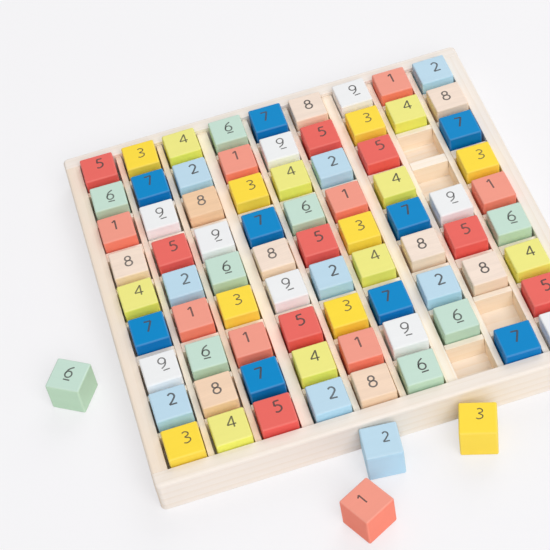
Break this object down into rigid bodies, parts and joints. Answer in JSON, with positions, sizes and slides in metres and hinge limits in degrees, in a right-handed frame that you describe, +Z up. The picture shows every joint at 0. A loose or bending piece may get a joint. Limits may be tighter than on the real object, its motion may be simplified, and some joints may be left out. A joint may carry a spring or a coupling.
{
  "type": "sudoku board",
  "caption": "Square wooden sudoku tray with a raised rim, a half-lapped lattice of cells and coloured lift-out number cubes, some standing loose beside it.",
  "frame": {"origin": "on the table under the middle of the tray", "axes": "+X right along the rows, +Y to the back along the columns, +Z up from the table"},
  "size_m": [0.2923, 0.3067, 0.0271],
  "materials": {
    "rail_wood": "bare pale wood, sanded smooth",
    "base_wood": "bare pale wood, sanded smooth",
    "divider_wood": "bare pale wood, sanded smooth",
    "coral_cube_wood": "thin satin paint over wood",
    "light_blue_cube_wood": "thin satin paint over wood",
    "yellow_cube_wood": "thin satin paint over wood",
    "lime_cube_wood": "thin satin paint over wood",
    "red_cube_wood": "thin satin paint over wood",
    "mint_cube_wood": "thin satin paint over wood",
    "blue_cube_wood": "thin satin paint over wood",
    "natural_cube_wood": "bare wood, sanded smooth",
    "white_cube_wood": "thin satin paint over wood"
  },
  "bodies": {
    "tray": {"base_panel": "base_wood", "front_rail": "rail_wood", "back_rail": "rail_wood", "left_rail": "rail_wood", "right_rail": "rail_wood", "row_divider_1": "divider_wood", "row_divider_2": "divider_wood", "row_divider_3": "divider_wood", "row_divider_4": "divider_wood", "row_divider_5": "divider_wood", "row_divider_6": "divider_wood", "row_divider_7": "divider_wood", "row_divider_8": "divider_wood", "column_divider_1": "divider_wood", "column_divider_2": "divider_wood", "column_divider_3": "divider_wood", "column_divider_4": "divider_wood", "column_divider_5": "divider_wood", "column_divider_6": "divider_wood", "column_divider_7": "divider_wood", "column_divider_8": "divider_wood"},
    "number_1_cubes": {"number_1_cubes": "coral_cube_wood"},
    "number_2_cubes": {"number_2_cubes": "light_blue_cube_wood"},
    "number_3_cubes": {"number_3_cubes": "yellow_cube_wood"},
    "number_4_cubes": {"number_4_cubes": "lime_cube_wood"},
    "number_5_cubes": {"number_5_cubes": "red_cube_wood"},
    "number_6_cubes": {"number_6_cubes": "mint_cube_wood"},
    "number_7_cubes": {"number_7_cubes": "blue_cube_wood"},
    "number_8_cubes": {"number_8_cubes": "natural_cube_wood"},
    "number_9_cubes": {"number_9_cubes": "white_cube_wood"},
    "cube_r1c8": {"cube_r1c8": "coral_cube_wood"},
    "cube_r1c9": {"cube_r1c9": "light_blue_cube_wood"},
    "cube_r2c8": {"cube_r2c8": "lime_cube_wood"},
    "cube_r2c9": {"cube_r2c9": "natural_cube_wood"},
    "cube_r3c9": {"cube_r3c9": "blue_cube_wood"},
    "cube_r4c9": {"cube_r4c9": "yellow_cube_wood"},
    "cube_r5c8": {"cube_r5c8": "white_cube_wood"},
    "cube_r5c9": {"cube_r5c9": "coral_cube_wood"},
    "cube_r6c8": {"cube_r6c8": "red_cube_wood"},
    "cube_r6c9": {"cube_r6c9": "mint_cube_wood"},
    "cube_r7c8": {"cube_r7c8": "natural_cube_wood"},
    "cube_r7c9": {"cube_r7c9": "lime_cube_wood"},
    "cube_r8c9": {"cube_r8c9": "red_cube_wood"},
    "cube_r9c8": {"cube_r9c8": "blue_cube_wood"},
    "cube_r9c9": {"cube_r9c9": "white_cube_wood"},
    "loose_cube_1": {"loose_cube_1": "coral_cube_wood"},
    "loose_cube_2": {"loose_cube_2": "light_blue_cube_wood"},
    "loose_cube_3": {"loose_cube_3": "yellow_cube_wood"},
    "loose_cube_6": {"loose_cube_6": "mint_cube_wood"}
  },
  "joints": [
    {"name": "number_1_cubes_lift", "type": "slide", "parent": "tray", "child": "number_1_cubes", "axis": [0, 0, 1], "range_m": [0, 0.03]},
    {"name": "number_2_cubes_lift", "type": "slide", "parent": "tray", "child": "number_2_cubes", "axis": [0, 0, 1], "range_m": [0, 0.03]},
    {"name": "number_3_cubes_lift", "type": "slide", "parent": "tray", "child": "number_3_cubes", "axis": [0, 0, 1], "range_m": [0, 0.03]},
    {"name": "number_4_cubes_lift", "type": "slide", "parent": "tray", "child": "number_4_cubes", "axis": [0, 0, 1], "range_m": [0, 0.03]},
    {"name": "number_5_cubes_lift", "type": "slide", "parent": "tray", "child": "number_5_cubes", "axis": [0, 0, 1], "range_m": [0, 0.03]},
    {"name": "number_6_cubes_lift", "type": "slide", "parent": "tray", "child": "number_6_cubes", "axis": [0, 0, 1], "range_m": [0, 0.03]},
    {"name": "number_7_cubes_lift", "type": "slide", "parent": "tray", "child": "number_7_cubes", "axis": [0, 0, 1], "range_m": [0, 0.03]},
    {"name": "number_8_cubes_lift", "type": "slide", "parent": "tray", "child": "number_8_cubes", "axis": [0, 0, 1], "range_m": [0, 0.03]},
    {"name": "number_9_cubes_lift", "type": "slide", "parent": "tray", "child": "number_9_cubes", "axis": [0, 0, 1], "range_m": [0, 0.03]},
    {"name": "cube_r1c8_lift", "type": "slide", "parent": "tray", "child": "cube_r1c8", "axis": [0, 0, 1], "range_m": [0, 0.03]},
    {"name": "cube_r1c9_lift", "type": "slide", "parent": "tray", "child": "cube_r1c9", "axis": [0, 0, 1], "range_m": [0, 0.03]},
    {"name": "cube_r2c8_lift", "type": "slide", "parent": "tray", "child": "cube_r2c8", "axis": [0, 0, 1], "range_m": [0, 0.03]},
    {"name": "cube_r2c9_lift", "type": "slide", "parent": "tray", "child": "cube_r2c9", "axis": [0, 0, 1], "range_m": [0, 0.03]},
    {"name": "cube_r3c9_lift", "type": "slide", "parent": "tray", "child": "cube_r3c9", "axis": [0, 0, 1], "range_m": [0, 0.03]},
    {"name": "cube_r4c9_lift", "type": "slide", "parent": "tray", "child": "cube_r4c9", "axis": [0, 0, 1], "range_m": [0, 0.03]},
    {"name": "cube_r5c8_lift", "type": "slide", "parent": "tray", "child": "cube_r5c8", "axis": [0, 0, 1], "range_m": [0, 0.03]},
    {"name": "cube_r5c9_lift", "type": "slide", "parent": "tray", "child": "cube_r5c9", "axis": [0, 0, 1], "range_m": [0, 0.03]},
    {"name": "cube_r6c8_lift", "type": "slide", "parent": "tray", "child": "cube_r6c8", "axis": [0, 0, 1], "range_m": [0, 0.03]},
    {"name": "cube_r6c9_lift", "type": "slide", "parent": "tray", "child": "cube_r6c9", "axis": [0, 0, 1], "range_m": [0, 0.03]},
    {"name": "cube_r7c8_lift", "type": "slide", "parent": "tray", "child": "cube_r7c8", "axis": [0, 0, 1], "range_m": [0, 0.03]},
    {"name": "cube_r7c9_lift", "type": "slide", "parent": "tray", "child": "cube_r7c9", "axis": [0, 0, 1], "range_m": [0, 0.03]},
    {"name": "cube_r8c9_lift", "type": "slide", "parent": "tray", "child": "cube_r8c9", "axis": [0, 0, 1], "range_m": [0, 0.03]},
    {"name": "cube_r9c8_lift", "type": "slide", "parent": "tray", "child": "cube_r9c8", "axis": [0, 0, 1], "range_m": [0, 0.03]},
    {"name": "cube_r9c9_lift", "type": "slide", "parent": "tray", "child": "cube_r9c9", "axis": [0, 0, 1], "range_m": [0, 0.03]},
    {"name": "loose_cube_1_lift", "type": "slide", "parent": "tray", "child": "loose_cube_1", "axis": [0, 0, 1], "range_m": [0, 0.03]},
    {"name": "loose_cube_2_lift", "type": "slide", "parent": "tray", "child": "loose_cube_2", "axis": [0, 0, 1], "range_m": [0, 0.03]},
    {"name": "loose_cube_3_lift", "type": "slide", "parent": "tray", "child": "loose_cube_3", "axis": [0, 0, 1], "range_m": [0, 0.03]},
    {"name": "loose_cube_6_lift", "type": "slide", "parent": "tray", "child": "loose_cube_6", "axis": [0, 0, 1], "range_m": [0, 0.03]}
  ]
}
